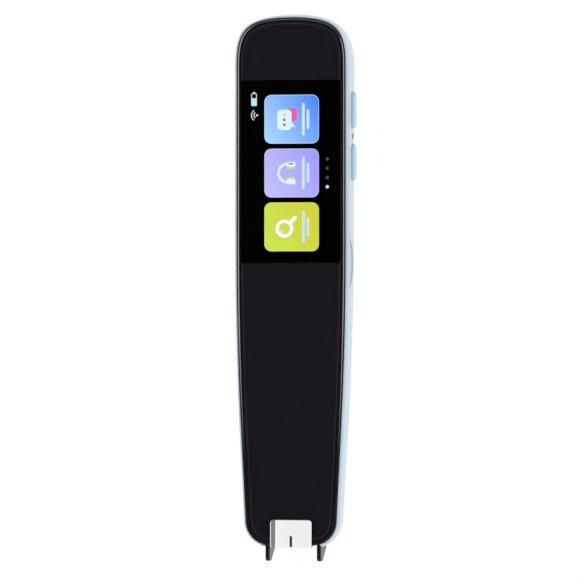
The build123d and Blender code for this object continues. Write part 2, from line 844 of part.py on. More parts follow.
# Key board with a switch behind each key
with BuildPart() as key_board:
    key_board_low = waist_screw[1] + boss_r + part_gap
    key_board_high = upper_key_y + key_length / 2
    with BuildSketch(Plane.YZ.offset(key_board_x)):
        with Locations(((key_board_low + key_board_high) / 2, (key_board_z + key_top_z) / 2)):
            Rectangle(key_board_high - key_board_low, key_top_z - key_board_z)
    extrude(amount=key_board_thick)

with BuildPart() as key_switches:
    for key_y in (upper_key_y, lower_key_y, talk_key_y):
        with BuildSketch(Plane.YZ.offset(key_board_face)):
            with Locations((key_y, key_z)):
                Rectangle(key_switch_length, key_switch_height)
        extrude(amount=key_switch_thick)
        with BuildSketch(Plane.YZ.offset(key_switch_x)):
            with Locations((key_y, key_z)):
                Circle(key_plunger_r)
        extrude(amount=key_plunger_length)

with BuildPart() as microphone:
    with BuildSketch(Plane.YZ.offset(key_board_face)):
        with Locations((microphone_y, key_z)):
            Rectangle(microphone_length, key_switch_height)
    extrude(amount=microphone_thick)

with BuildPart() as microphone_boot:
    boot_x = key_board_face + microphone_thick
    with BuildSketch(Plane.YZ.offset(boot_x)):
        with Locations((microphone_y, key_z)):
            Circle(boot_r)
            Circle(sound_hole_r, mode=Mode.SUBTRACT)
    extrude(amount=mouth_half + bulge - wall - fit - 2 * slip - boot_x)

# Main board, its chips under a shield can, and its connectors
with BuildPart() as main_board:
    with BuildSketch(Plane.XY.offset(board_z)) as board_plan:
        with Locations((0, (board_low + board_shoulder) / 2)):
            Rectangle(2 * board_half, board_shoulder - board_low)
        fillet(board_plan.vertices(), board_corner_r)
        with Locations((0, (board_shoulder + board_end) / 2 - board_corner_r)):
            Rectangle(2 * board_tab_half, board_end - board_shoulder + 2 * board_corner_r)
    extrude(amount=board_thick)
    with Locations(*[(x, y, board_top) for x, y in post_places]):
        Hole(screw_r + hole_play, 2 * board_thick)

with BuildPart() as shield_can:
    with BuildSketch(Plane.XY.offset(board_top)):
        with Locations((0, can_y)):
            Rectangle(can_width, can_length)
    extrude(amount=can_height)
    fillet(shield_can.edges().filter_by(Axis.Z), part_gap)
    with BuildSketch(Plane.XY.offset(board_top)):
        with Locations((0, can_y)):
            Rectangle(can_width - 2 * can_wall, can_length - 2 * can_wall)
    extrude(amount=can_height - can_wall, mode=Mode.SUBTRACT)

with BuildPart() as processor_chips:
    with BuildSketch(Plane.XY.offset(board_top)):
        with Locations((0, can_y - can_length / 2 + chip_size / 2 + 2 * part_gap)):
            Rectangle(chip_size, chip_size)
        with Locations((0, can_y + can_length / 2 - memory_size / 2 - 2 * part_gap)):
            Rectangle(memory_size, memory_size)
    extrude(amount=chip_height)

with BuildPart() as board_connectors:
    display_socket_y = tray_low + flex_tail + connector_length / 2
    battery_socket_y = module_low_y - module_gap - connector_length / 2
    with BuildSketch(Plane.XY.offset(board_top)):
        with Locations((0, display_socket_y)):
            Rectangle(connector_width, connector_length)
    extrude(amount=connector_thick)
    with BuildSketch(Plane.XY.offset(board_z)):
        with Locations((0, battery_socket_y)):
            Rectangle(2 * lead_spread + connector_length, connector_length)
        with Locations((0, board_low + flex_tail + connector_length / 2)):
            Rectangle(flex_width, connector_length)
    extrude(amount=-2 * connector_thick)

with BuildPart() as wireless_module:
    with BuildSketch(Plane.XY.offset(board_z)):
        with Locations((0, (module_low_y + module_top_y) / 2)):
            Rectangle(2 * module_half, module_length)
    extrude(amount=-module_height)
    fillet(wireless_module.edges().filter_by(Axis.Z), part_gap)

with BuildPart() as antenna:
    with BuildSketch(Plane.XY.offset(frame_z)):
        with Locations((0, tail_screw[1])):
            Rectangle(antenna_width, antenna_length)
    extrude(amount=-antenna_thick)

# USB-C receptacle at the tail, with its tongue
with BuildPart() as usb_receptacle:
    with BuildSketch(across(usb_back_y)):
        with Locations((0, usb_z)):
            SlotOverall(usb_width, usb_height)
    extrude(amount=-usb_length)
    with BuildSketch(across(usb_back_y + 2 * usb_wall)):
        with Locations((0, usb_z)):
            SlotOverall(usb_width - 2 * usb_wall, usb_height - 2 * usb_wall)
    extrude(amount=-usb_length, mode=Mode.SUBTRACT)

with BuildPart() as usb_tongue:
    with BuildSketch(across(usb_back_y + 2 * usb_wall)):
        with Locations((0, usb_z)):
            Rectangle(usb_tongue_width, usb_tongue_thick)
    extrude(amount=-(usb_length - 2 * usb_wall - usb_tongue_setback))

# Speaker over its grille
with BuildPart() as speaker_mesh:
    with BuildSketch(Plane.XY.offset(wall)):
        with Locations((0, speaker_y)):
            Rectangle(2 * speaker_half, speaker_length)
    extrude(amount=speaker_mesh_thick)

with BuildPart() as speaker_gasket:
    with BuildSketch(Plane.XY.offset(wall + speaker_mesh_thick)):
        with Locations((0, speaker_y)):
            Rectangle(2 * speaker_half, speaker_length)
            Rectangle(
                2 * (speaker_half - speaker_gasket_width),
                speaker_length - 2 * speaker_gasket_width,
                mode=Mode.SUBTRACT,
            )
    extrude(amount=speaker_gasket_thick)

with BuildPart() as speaker:
    with BuildSketch(Plane.XY.offset(speaker_z)):
        with Locations((0, speaker_y)):
            Rectangle(2 * speaker_half, speaker_length)
    extrude(amount=speaker_top - speaker_z)
    fillet(speaker.edges().filter_by(Axis.Z), speaker_edge_r)

# Battery on its foam, with its protection board and two leads
with BuildPart() as battery:
    with BuildSketch(across(battery_low)):
        with Locations((0, (battery_z + battery_top) / 2)):
            RectangleRounded(2 * battery_half, battery_top - battery_z, battery_edge_r)
    extrude(amount=battery_low - battery_high)

with BuildPart() as battery_foam:
    with BuildSketch(Plane.XY.offset(wall)):
        with Locations((0, battery_mid)):
            Rectangle(2 * (battery_half - foam_inset), battery_high - battery_low - 2 * foam_inset)
    extrude(amount=foam_thick)

protection_mid_y = protection_high_y - protection_length / 2
protection_z = battery_z + protection_rise
with BuildPart() as protection_board:
    with BuildSketch(Plane.XY.offset(protection_z)):
        with Locations((0, protection_mid_y)):
            Rectangle(2 * (battery_half - foam_inset), protection_length)
    extrude(amount=protection_thick)

with BuildPart() as battery_leads:
    lead_low_z = protection_z + protection_thick / 2
    lead_high_z = board_z - connector_thick
    lead_end_y = battery_socket_y - connector_length / 2
    lead_mid_y = (protection_high_y + lead_end_y) / 2
    for side in (-1, 1):
        with BuildLine() as route:
            FilletPolyline(
                (side * lead_spread, protection_high_y, lead_low_z),
                (side * lead_spread, lead_mid_y, lead_low_z),
                (side * lead_spread, lead_mid_y, lead_high_z),
                (side * lead_spread, lead_end_y, lead_high_z),
                radius=lead_bend_r,
            )
        with BuildSketch(Plane(origin=route.line @ 0, z_dir=route.line % 0)):
            Circle(lead_r)
        sweep()

# Flexible circuits
with BuildPart() as display_flex:
    fold_y = tray_low - flex_reach
    flex_top_z = tray_z - flex_thick / 2
    flex_low_z = board_top + connector_thick / 2
    with BuildSketch(Plane.YZ.offset(-flex_width / 2)):
        with BuildLine():
            FilletPolyline(
                (tray_low + flex_tail, flex_top_z),
                (fold_y, flex_top_z),
                (fold_y, flex_low_z),
                (tray_low + flex_tail, flex_low_z),
                radius=flex_bend_r,
            )
        trace(line_width=flex_thick)
    extrude(amount=flex_width)

with BuildPart() as camera_flex:
    sensor_back_y = head_back_y + sensor_board_thick
    flex_rise_y = board_low - flex_reach
    with BuildSketch(Plane.YZ.offset(-flex_width / 2)):
        with BuildLine():
            FilletPolyline(
                (sensor_back_y, lens_z - flex_reach),
                (flex_rise_y, lens_z - flex_reach),
                (flex_rise_y, board_z - connector_thick),
                (board_low + flex_tail, board_z - connector_thick),
                radius=flex_bend_r,
            )
        trace(line_width=flex_thick)
    extrude(amount=flex_width)

with BuildPart() as trigger_flex:
    trigger_back_y = trigger_y + trigger_length
    trigger_flex_z = wing_top + trigger_height / 2
    with BuildSketch(Plane.YZ.offset(leg_mid_x - trigger_half)):
        with BuildLine():
            FilletPolyline(
                (trigger_back_y, trigger_flex_z),
                (flex_rise_y, trigger_flex_z),
                (flex_rise_y, board_z - flex_thick / 2),
                (board_low + flex_reach, board_z - flex_thick / 2),
                radius=flex_bend_r,
            )
        trace(line_width=flex_thick)
    extrude(amount=2 * trigger_half)

with BuildPart() as key_flex:
    key_flex_y = (lower_key_y + talk_key_y) / 2
    with BuildSketch(across(key_flex_y + flex_width / 2)):
        with BuildLine():
            FilletPolyline(
                (key_board_x - flex_thick / 2, key_board_z + flex_reach),
                (key_board_x - flex_thick / 2, board_top + flex_thick / 2),
                (board_half - flex_reach, board_top + flex_thick / 2),
                radius=flex_bend_r,
            )
        trace(line_width=flex_thick)
    extrude(amount=flex_width)


# Screws, each a head and a plain shank
def screw_set(places, seat, length):
    """One solid screw at each place, its head standing on seat and its shank reaching down."""
    with BuildPart() as screws:
        with BuildSketch(Plane.XY.offset(seat)):
            with Locations(*places):
                Circle(screw_head_r)
        extrude(amount=screw_head_h)
        with BuildSketch(Plane.XY.offset(seat)):
            with Locations(*places):
                Circle(screw_r)
        extrude(amount=-length)
    return screws.part


frame_screws = screw_set(frame_screw_places, frame_screw_seat, screw_length)
board_screws = screw_set(post_places, board_top, screw_length)
head_screws = screw_set(head_screw_places, wing_top, wing_top - wall - fit)

# One file per piece
pieces = {
    "back_shell": back_shell.part,
    "front_frame": front_frame.part,
    "glass_bond": glass_bond.part,
    "cover_glass": cover_glass.part,
    "window_plate": window_plate.part,
    "centre_mark": centre_mark.part,
    "display_panel": display_panel.part,
    "display_light_guide": display_light_guide.part,
    "display_tray": display_tray.part,
    "display_flex": display_flex.part,
    "scan_fork": scan_fork.part,
    "scan_window": scan_window.part,
    "head_housing": head_housing.part,
    "lens_barrel": lens_barrel.part,
    "lens": lens.part,
    "sensor_board": sensor_board.part,
    "image_sensor": image_sensor.part,
    "camera_flex": camera_flex.part,
    "led_board": led_board.part,
    "scan_leds": scan_leds.part,
    "return_spring": return_spring.part,
    "trigger_switch": trigger_switch.part,
    "trigger_flex": trigger_flex.part,
    "upper_key": long_keys["upper_key"],
    "lower_key": long_keys["lower_key"],
    "talk_key": talk_key.part,
    "key_board": key_board.part,
    "key_switches": key_switches.part,
    "key_flex": key_flex.part,
    "microphone": microphone.part,
    "microphone_boot": microphone_boot.part,
    "main_board": main_board.part,
    "shield_can": shield_can.part,
    "processor_chips": processor_chips.part,
    "board_connectors": board_connectors.part,
    "wireless_module": wireless_module.part,
    "antenna": antenna.part,
    "usb_receptacle": usb_receptacle.part,
    "usb_tongue": usb_tongue.part,
    "speaker_mesh": speaker_mesh.part,
    "speaker_gasket": speaker_gasket.part,
    "speaker": speaker.part,
    "battery": battery.part,
    "battery_foam": battery_foam.part,
    "protection_board": protection_board.part,
    "battery_leads": battery_leads.part,
    "frame_screws": frame_screws,
    "board_screws": board_screws,
    "head_screws": head_screws,
}
for name, piece in pieces.items():
    piece.label = name
    export_step(piece, f"parts/{name}.step")
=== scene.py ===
from math import atan2, cos, pi, radians, sin, tan

import bmesh
import bpy
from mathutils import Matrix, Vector


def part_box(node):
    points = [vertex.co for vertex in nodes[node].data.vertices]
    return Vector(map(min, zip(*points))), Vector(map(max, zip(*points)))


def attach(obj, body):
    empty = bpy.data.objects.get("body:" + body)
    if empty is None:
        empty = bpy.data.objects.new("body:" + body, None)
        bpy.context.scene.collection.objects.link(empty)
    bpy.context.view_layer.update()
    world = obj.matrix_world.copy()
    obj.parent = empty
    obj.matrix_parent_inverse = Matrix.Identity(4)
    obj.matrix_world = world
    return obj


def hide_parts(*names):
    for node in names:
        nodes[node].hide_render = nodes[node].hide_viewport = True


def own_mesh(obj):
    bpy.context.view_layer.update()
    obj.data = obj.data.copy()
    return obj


# Looks of a handheld scanning pen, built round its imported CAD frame. Lengths are in metres.

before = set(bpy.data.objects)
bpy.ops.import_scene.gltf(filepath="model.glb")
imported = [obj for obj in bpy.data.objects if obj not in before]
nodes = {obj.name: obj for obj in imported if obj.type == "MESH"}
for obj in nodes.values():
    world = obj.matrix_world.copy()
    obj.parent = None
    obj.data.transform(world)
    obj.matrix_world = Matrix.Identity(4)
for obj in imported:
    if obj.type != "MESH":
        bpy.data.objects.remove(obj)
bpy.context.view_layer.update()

MM = 0.001
QUARTER = pi / 2
BLACK = (0.0, 0.0, 0.0, 1.0)
FULL_WHITE = (1.0, 1.0, 1.0, 1.0)
PEN_BODY = "pen_body"

# What counts as the same place, what counts as close, and how far a cutter runs past what it cuts
TINY = MM / 1000
CLOSE = 0.01 * MM
OVERRUN = 1.0 * MM

# A face stands upright when the Z of its normal is under this. A moved corner's reach is held by the limit
UPRIGHT = 0.1
MITRE_LIMIT = 0.3

# Cover glass: its rim curves down. Each pair is a distance from the edge and the tilt there in degrees
RIM_TILTS = ((0.0, 37), (0.12 * MM, 27), (0.22 * MM, 21), (0.36 * MM, 11), (0.75 * MM, 4), (1.4 * MM, 0))
RIM_STEP = 0.05 * MM
RIM_FOOT = 0.08 * MM
RIM_GLOSS = 0.5 * MM
RIM_SMOOTH = radians(12)
GLASS_LIFT = 0.07 * MM

# Notch in the glass round the window plate, open past the tip
NOTCH_GAP = 0.05 * MM
NOTCH_CORNER = 1.0 * MM
NOTCH_RUN = 20 * MM

# Black print on the back of the glass, and the display window in it
PRINT_INSET = 0.28 * MM
PRINT_THICK = 0.02 * MM
PRINT_LIFT = 0.003 * MM
# A painted fine line where the rim's curve begins, standing in for the change of reflection there
LINE_INSET = 1.32 * MM
LINE_WIDTH = 0.1 * MM
LINE_THICK = 0.004 * MM
WINDOW_X = -0.2 * MM
WINDOW_HALF = 14.42 * MM
WINDOW_LOW = 4.95 * MM
WINDOW_HIGH = 56.72 * MM
WINDOW_CORNER = 0.25 * MM

# Seal on the window plate
SEAL_THICK = 0.04 * MM
SEAL_LIFT = 0.004 * MM
SEAL_END = 0.22 * MM
SEAL_SIDE = 0.1 * MM

# Sound slot in the side
SLOT_FACE = 16.9 * MM
SLOT_LENGTH = 1.8 * MM
SLOT_WIDTH = 0.52 * MM
SLOT_RIM = 0.1 * MM
SLOT_DEPTH = 0.3 * MM
SLOT_SINK = 0.18 * MM
SLOT_ROUND_SHARE = 0.49

# Return spring
WIRE_R = 0.18 * MM
SPRING_TURNS = 5
SPRING_STEPS = 28
WIRE_SIDES = 10
WIRE_SMOOTH = radians(50)

# Screen contents. Places are the pen's own X and Y. On the screen, right is +Y and up is -X
UI_LIFT = 0.001 * MM
LAYER = 0.012 * MM
RIM_LAYER = 0.4 * LAYER
NUB_LAYER = 0.9 * LAYER
CHARGE_LAYER = 0.8 * LAYER
TILE_WIDTH = 13.8 * MM
TILE_HEIGHT = 15.8 * MM
TILE_PITCH = 15.23 * MM
TILE_CORNER = 2.0 * MM
TILE_RIM = 0.16 * MM
TILES_X = 0.2 * MM
MIDDLE_TILE_Y = 30.41 * MM
ICON_X = -1.5 * MM
BAR_X = 3.4 * MM
BAR_PITCH = 1.35 * MM
BAR_WIDTH = 0.8 * MM
BAR_HALVES = (4.2 * MM, 2.4 * MM)
BATTERY_X = -10.73 * MM
BATTERY_Y = 51.42 * MM
WIFI_X = -10.65 * MM
WIFI_Y = 46.83 * MM
PAGES = 4
DOTS_X = 10.54 * MM
DOTS_Y = 30.42 * MM
DOTS_PITCH = 2.62 * MM
DOT_R = 0.46 * MM

# Studio. The floor lies just under the pen's flat back. Each stop is a height and a grey of the world
FLOOR_GAP = 0.02 * MM
FLOOR_HALF = 4.0
FLOOR_GLOW = 1.04
FLOOR_GLOW_SHARE = 0.9
WORLD_STOPS = ((0.05, 1.0), (0.5, 0.45), (0.9, 0.01))

# Each lamp has a place, a size and a power
SOFT_BOXES = {
    "left_box": ((-0.9, 0.1, 0.9), (1.4, 0.55), 8),
    "right_box": ((0.9, -0.1, 0.9), (1.4, 0.55), 8),
    "tip_box": ((0.0, -0.95, 0.9), (0.9, 0.4), 1.0),
    "tail_box": ((0.0, 0.95, 0.9), (0.9, 0.4), 1.0),
}

# Camera: turned about the pen's long axis so that the side with the keys shows
CAMERA_TURN = radians(13)
CAMERA_DISTANCE = 1.5
FRAME_WIDTH = 164.1 * MM
SENSOR_WIDTH = 36.0
AIM = Vector((-0.27 * MM, -2.69 * MM, 12.45 * MM))


# Colours

def linear(value):
    """One display value from 0 to 255 as linear light."""
    share = value / 255
    return share / 12.92 if share <= 0.04045 else ((share + 0.055) / 1.055) ** 2.4


def colour(red, green, blue):
    """A display colour as the four linear numbers that a colour socket takes."""
    return (linear(red), linear(green), linear(blue), 1.0)


def scaled(shade, factor):
    """A linear colour made darker or lighter, held under full white."""
    return tuple(min(1.0, c * factor) for c in shade[:3]) + (1.0,)


# Materials. Patterns have the size of one blotch, cell or pitch, and depths are heights of relief

CLOUD = 9 * MM
CLOUD_SHADES = (0.975, 1.02)
SMEAR = 2.2 * MM
SMEAR_RANGE = 0.05
GRAIN = 0.09 * MM
GRAIN_DEPTH = 0.002 * MM
EDGE_REACH = 0.25 * MM
EDGE_MATCH = (0.995, 0.93)
STREAK = 0.12 * MM
STREAK_DEPTH = 0.0015 * MM
EVEN = (1, 1, 1)
ROLLED = (1, 0.06, 1)
PAD_PITCH = 1.1 * MM
TRACK_PITCH = 2.2 * MM
CONDUCTOR_PITCH = 1.6 * MM
COPPER_DEPTH = 0.01 * MM
FOAM_CELL = 0.25 * MM
FOAM_DEPTH = 0.05 * MM
CREASE = 2.5 * MM
CREASE_DEPTH = 0.05 * MM
SMUDGE = 6 * MM
DOT_SCREEN = 0.12 * MM
COLUMN_PITCH = 0.5 * MM
LIT_STRENGTH = 1.12
LIT_SLANT = (0.65, 0.35, 0.0)

# The shell's lip gets painted shade, darker between two levels, and the rim's gloss comes in between two
# places along Y
SHELL_LIP_SHADE_LEVELS = (10.4 * MM, 12.2 * MM)
LIP_PAINTED_SHADE = 0.8
GLOSS_FADE = (-50 * MM, -12 * MM)


class Paint:
    """A material under construction: its tree, its principled shader and the object's coordinates."""

    def __init__(self, name, base, roughness, **sockets):
        self.material = bpy.data.materials.new(name)
        self.material.use_nodes = True
        self.tree = self.material.node_tree
        self.shader = self.tree.nodes["Principled BSDF"]
        self.place = self.add("TexCoord").outputs["Object"]
        self.shade(Base_Color=base, Roughness=roughness, **sockets)

    def set(self, node, inputs):
        """Sets a node's inputs, each to a value or to what comes out of another node."""
        for key, value in inputs.items():
            if isinstance(value, bpy.types.NodeSocket):
                self.tree.links.new(value, node.inputs[key])
            else:
                node.inputs[key].default_value = value

    def shade(self, **sockets):
        """Sets inputs of the principled shader. In their names an underscore stands for a space."""
        self.set(self.shader, {key.replace("_", " "): value for key, value in sockets.items()})

    def add(self, kind, inputs=(), **settings):
        """Adds a node with its settings and inputs."""
        node = self.tree.nodes.new("ShaderNode" + kind)
        for key, value in settings.items():
            setattr(node, key, value)
        self.set(node, dict(inputs))
        return node

    def noise(self, size, detail=2.0, stretch=EVEN):
        """Noise whose blotches are about this size, drawn out along an axis by a stretch under 1."""
        place = self.place
        if stretch != EVEN:
            place = self.add("Mapping", {"Vector": place, "Scale": stretch}).outputs["Vector"]
        found = self.add("TexNoise", {"Vector": place, "Scale": 1 / size, "Detail": detail})
        return found.outputs["Fac"]

    def along(self, axis):
        """The object's coordinate along one axis."""
        return self.add("SeparateXYZ", {"Vector": self.place}).outputs[axis]

    def spread(self, source, low, high, start=0.3, end=0.7):
        """The source's range from start to end, spread from low to high."""
        limits = {"Value": source, "From Min": start, "From Max": end, "To Min": low, "To Max": high}
        return self.add("MapRange", limits).outputs["Result"]

    def mix(self, share, first, second):
        """Two colours mixed by a share."""
        node = self.add("Mix", data_type="RGBA")
        self.set(node, {0: share, 6: first, 7: second})
        return node.outputs[2]

    def edges(self):
        """A mask that is 1 on sharp outer edges."""
        soft = self.add("Bevel", {"Radius": EDGE_REACH}, samples=4).outputs["Normal"]
        sharp = self.add("NewGeometry").outputs["Normal"]
        match = self.add("VectorMath", {0: soft, 1: sharp}, operation="DOT_PRODUCT").outputs["Value"]
        return self.spread(match, 0.0, 1.0, *EDGE_MATCH)

    def show(self, surface):
        """Puts a shader that the principled one is only part of on the surface."""
        self.tree.links.new(surface, self.tree.nodes["Material Output"].inputs["Surface"])

    def bump(self, height, depth):
        """Relief of the whole surface from a height pattern."""
        node = self.add("Bump", {"Height": height, "Distance": depth, "Strength": 1.0})
        self.shade(Normal=node.outputs["Normal"])


def moulded_plastic(name, base, roughness, depth=GRAIN_DEPTH, wear=1.06, painted_lip_shade=None, **sockets):
    """Plastic with a fine moulded grain, faint cloudiness and slightly rubbed edges.

    A lip shade is a pair of levels between which the colour is painted darker: painted shade on the lip.
    """
    paint = Paint(name, base, roughness, **sockets)
    cloud = paint.spread(paint.noise(CLOUD, 3.0), 0.0, 1.0)
    body = paint.mix(cloud, *(scaled(base, factor) for factor in CLOUD_SHADES))
    # Painted shade: the colour goes darker towards the top of the lip, between the two levels
    if painted_lip_shade:
        body = paint.mix(paint.spread(paint.along("Z"), 0.0, 1.0, *painted_lip_shade), body, scaled(base, LIP_PAINTED_SHADE))
    handled = paint.spread(paint.noise(SMEAR, 4.0), roughness - SMEAR_RANGE, roughness + SMEAR_RANGE)
    paint.shade(Base_Color=paint.mix(paint.edges(), body, scaled(base, wear)), Roughness=handled)
    paint.bump(paint.noise(GRAIN), depth)
    return paint.material


def rim_finish(name, base):
    """The polished rim of the glass over its dark edge coat. Its gloss fades towards the tip."""
    paint = Paint(name, base, 0.12, IOR=1.95)
    body = paint.mix(paint.noise(CLOUD, 3.0), scaled(base, 0.95), scaled(base, 1.05))
    gloss = paint.spread(paint.along("Y"), 0.0, 0.5, *GLOSS_FADE)
    handled = paint.spread(paint.noise(SMEAR, 4.0), 0.08, 0.16)
    paint.shade(Base_Color=body, Specular_IOR_Level=gloss, Roughness=handled)
    return paint.material


def metal(name, base, roughness, stretch=ROLLED):
    """Rolled metal with streaks along one axis, or turned metal with even specks."""
    paint = Paint(name, base, roughness, Metallic=1.0)
    streaks = paint.noise(STREAK, 3.0, stretch)
    body = paint.mix(streaks, scaled(base, 0.86), scaled(base, 1.08))
    paint.shade(Base_Color=body, Roughness=paint.spread(streaks, roughness - 0.06, roughness + 0.08))
    paint.bump(streaks, STREAK_DEPTH)
    return paint.material


def circuit_board(name):
    """Green solder mask over raised copper tracks, with tinned pads."""
    mask, track, tin = colour(16, 84, 52), colour(30, 112, 66), colour(196, 190, 170)
    paint = Paint(name, mask, 0.35)
    grid = {"Vector": paint.place, "Scale": 1 / PAD_PITCH, "Randomness": 0.55}
    cells = paint.add("TexVoronoi", grid, distance="CHEBYCHEV").outputs["Distance"]
    pads = paint.spread(cells, 1.0, 0.0, 0.14, 0.17)
    waves = {"Vector": paint.place, "Scale": 1 / TRACK_PITCH, "Distortion": 1.4, "Detail": 1.0}
    tracks = paint.spread(paint.add("TexWave", waves).outputs["Fac"], 0.0, 1.0, 0.62, 0.7)
    paint.shade(Base_Color=paint.mix(pads, paint.mix(tracks, mask, track), tin))
    paint.bump(tracks, COPPER_DEPTH)
    return paint.material


def film(name, base):
    """Polyimide film with parallel copper conductors showing through."""
    paint = Paint(name, base, 0.32)
    waves = {"Vector": paint.place, "Scale": 1 / CONDUCTOR_PITCH}
    bands = paint.add("TexWave", waves, bands_direction="X").outputs["Fac"]
    lines = paint.spread(bands, 0.0, 1.0, 0.45, 0.55)
    paint.shade(Base_Color=paint.mix(lines, base, scaled(base, 1.7)))
    paint.bump(lines, COPPER_DEPTH)
    return paint.material


def foam(name, base):
    """Closed-cell foam."""
    paint = Paint(name, base, 0.9)
    cells = paint.add("TexVoronoi", {"Vector": paint.place, "Scale": 1 / FOAM_CELL}).outputs["Distance"]
    paint.shade(Base_Color=paint.mix(cells, scaled(base, 1.5), scaled(base, 0.6)))
    paint.bump(cells, FOAM_DEPTH)
    return paint.material


def foil(name, base):
    """Crinkled laminated foil of a pouch cell."""
    paint = Paint(name, base, 0.38, Metallic=0.85)
    creases = paint.noise(CREASE, 5.0)
    body = paint.mix(creases, scaled(base, 0.9), scaled(base, 1.05))
    paint.shade(Base_Color=body, Roughness=paint.spread(creases, 0.3, 0.45))
    paint.bump(creases, CREASE_DEPTH)
    return paint.material


def clear(name, tint, roughness=0.02, ior=1.5):
    """Clear glass or plastic with a trace of smudges. Lamps light what lies behind it."""
    paint = Paint(name, tint, roughness, Transmission_Weight=1.0, IOR=ior)
    smudge = paint.noise(SMUDGE, 4.0)
    paint.shade(Roughness=paint.spread(smudge, roughness, roughness + 0.03, 0.45, 0.75))
    shadow = paint.add("LightPath").outputs["Is Shadow Ray"]
    through = paint.add("BsdfTransparent").outputs[0]
    paint.show(paint.add("MixShader", {0: shadow, 1: paint.shader.outputs[0], 2: through}).outputs[0])
    return paint.material


def ink(name, base):
    """Flat printed ink with a faint dot screen."""
    paint = Paint(name, base, 0.8, Specular_IOR_Level=0.0)
    paint.shade(Base_Color=paint.mix(paint.noise(DOT_SCREEN), scaled(base, 0.94), scaled(base, 1.06)))
    return paint.material


def dark_cell(name):
    """The unlit display: black, with a hint of its columns of dots."""
    paint = Paint(name, BLACK, 0.5, Specular_IOR_Level=0.0)
    waves = {"Vector": paint.place, "Scale": 1 / COLUMN_PITCH}
    columns = paint.add("TexWave", waves, bands_direction="Y").outputs["Fac"]
    deep, pale = (0.00005, 0.00005, 0.00008, 1.0), (0.0001, 0.0001, 0.00016, 1.0)
    paint.shade(Base_Color=paint.mix(columns, deep, pale))
    return paint.material


def lit(name, near, far=None):
    """Lit display colour, which runs across the piece from low X and Y to high X and Y."""
    paint = Paint(name, BLACK, 0.6, Emission_Strength=LIT_STRENGTH, Specular_IOR_Level=0.0)
    spot = paint.add("TexCoord").outputs["Generated"]
    share = paint.add("VectorMath", {0: spot, 1: LIT_SLANT}, operation="DOT_PRODUCT").outputs["Value"]
    paint.shade(Emission_Color=paint.mix(share, near, far or scaled(near, 0.96)))
    return paint.material


SHELL_BLUE = colour(199, 220, 232)
KEY_BLUE = colour(188, 213, 228)
# The talk key's blue is a darker copy of the keys' blue: painted shade for its recessed face
TALK_BLUE_PAINTED_SHADE = colour(182, 206, 219)
STEEL = colour(196, 197, 200)

# The shell carries painted shade along its lip next to the glass
shell_plastic = moulded_plastic(
    "shell_plastic", SHELL_BLUE, 0.42, wear=0.96, painted_lip_shade=SHELL_LIP_SHADE_LEVELS, Coat_Weight=0.6, Coat_Roughness=0.3
)
key_plastic = moulded_plastic("key_plastic", KEY_BLUE, 0.38, Coat_Weight=0.6, Coat_Roughness=0.25)
# Painted shade: the talk key is coloured darker than the other keys
talk_plastic_painted_shade = moulded_plastic("talk_plastic_painted_shade", TALK_BLUE_PAINTED_SHADE, 0.38, Coat_Weight=0.3, Coat_Roughness=0.3)
# Dark frame plastic whose blue tint is a painted reflection of the blue shell
frame_plastic_with_painted_blue = moulded_plastic("frame_plastic_with_painted_blue", colour(15, 23, 32), 0.5, wear=1.6)
fork_plastic = moulded_plastic(
    "fork_plastic", colour(18, 18, 21), 0.24, depth=0.0006 * MM, wear=1.8, IOR=1.42
)
chip_epoxy = moulded_plastic("chip_epoxy", colour(28, 28, 31), 0.6, wear=1.3)
speaker_plastic = moulded_plastic("speaker_plastic", colour(34, 34, 36), 0.5, wear=1.3)
connector_plastic = moulded_plastic("connector_plastic", colour(226, 224, 214), 0.45, wear=1.0)
diffuser_plastic = moulded_plastic("diffuser_plastic", colour(236, 236, 232), 0.55, wear=1.0)
mark_paint = moulded_plastic("mark_paint", colour(17, 17, 17), 0.55, wear=1.0)
led_package = moulded_plastic("led_package", colour(238, 232, 196), 0.35, wear=1.0)
tongue_plastic = moulded_plastic("tongue_plastic", colour(24, 24, 26), 0.45, wear=1.4)
slot_plastic = moulded_plastic("slot_plastic", colour(84, 90, 92), 0.6, wear=1.1)
lead_rubber = moulded_plastic("lead_rubber", colour(176, 34, 28), 0.55, wear=1.1)
boot_rubber = moulded_plastic("boot_rubber", colour(30, 30, 31), 0.8, wear=1.1)
seal_rubber = moulded_plastic("seal_rubber", colour(62, 46, 38), 0.5, wear=1.3)
thin_steel = metal("thin_steel", STEEL, 0.32)
receptacle_steel = metal("receptacle_steel", colour(190, 192, 196), 0.26)
spring_steel = metal("spring_steel", colour(176, 178, 184), 0.28, EVEN)
screw_steel = metal("screw_steel", colour(88, 89, 94), 0.38, EVEN)
solder_mask = circuit_board("solder_mask")
amber_film = film("amber_film", colour(176, 112, 36))
antenna_film = film("antenna_film", colour(60, 58, 56))
grey_foam = foam("grey_foam", colour(52, 53, 56))
black_mesh = foam("black_mesh", colour(26, 26, 28))
pouch_foil = foil("pouch_foil", colour(186, 188, 192))
cover_clear = clear("cover_clear", FULL_WHITE)
plate_clear = clear("plate_clear", colour(250, 251, 252), 0.03, 1.49)
lens_clear = clear("lens_clear", colour(236, 240, 255), 0.02, 1.52)
rim_gloss = rim_finish("rim_gloss", colour(30, 29, 32))
back_ink = ink("back_ink", colour(24, 23, 28))
# Painted reflection: a grey line where the glass's rim starts to curve
painted_rim_line_ink = ink("painted_rim_line_ink", colour(76, 72, 74))
display_black = dark_cell("display_black")

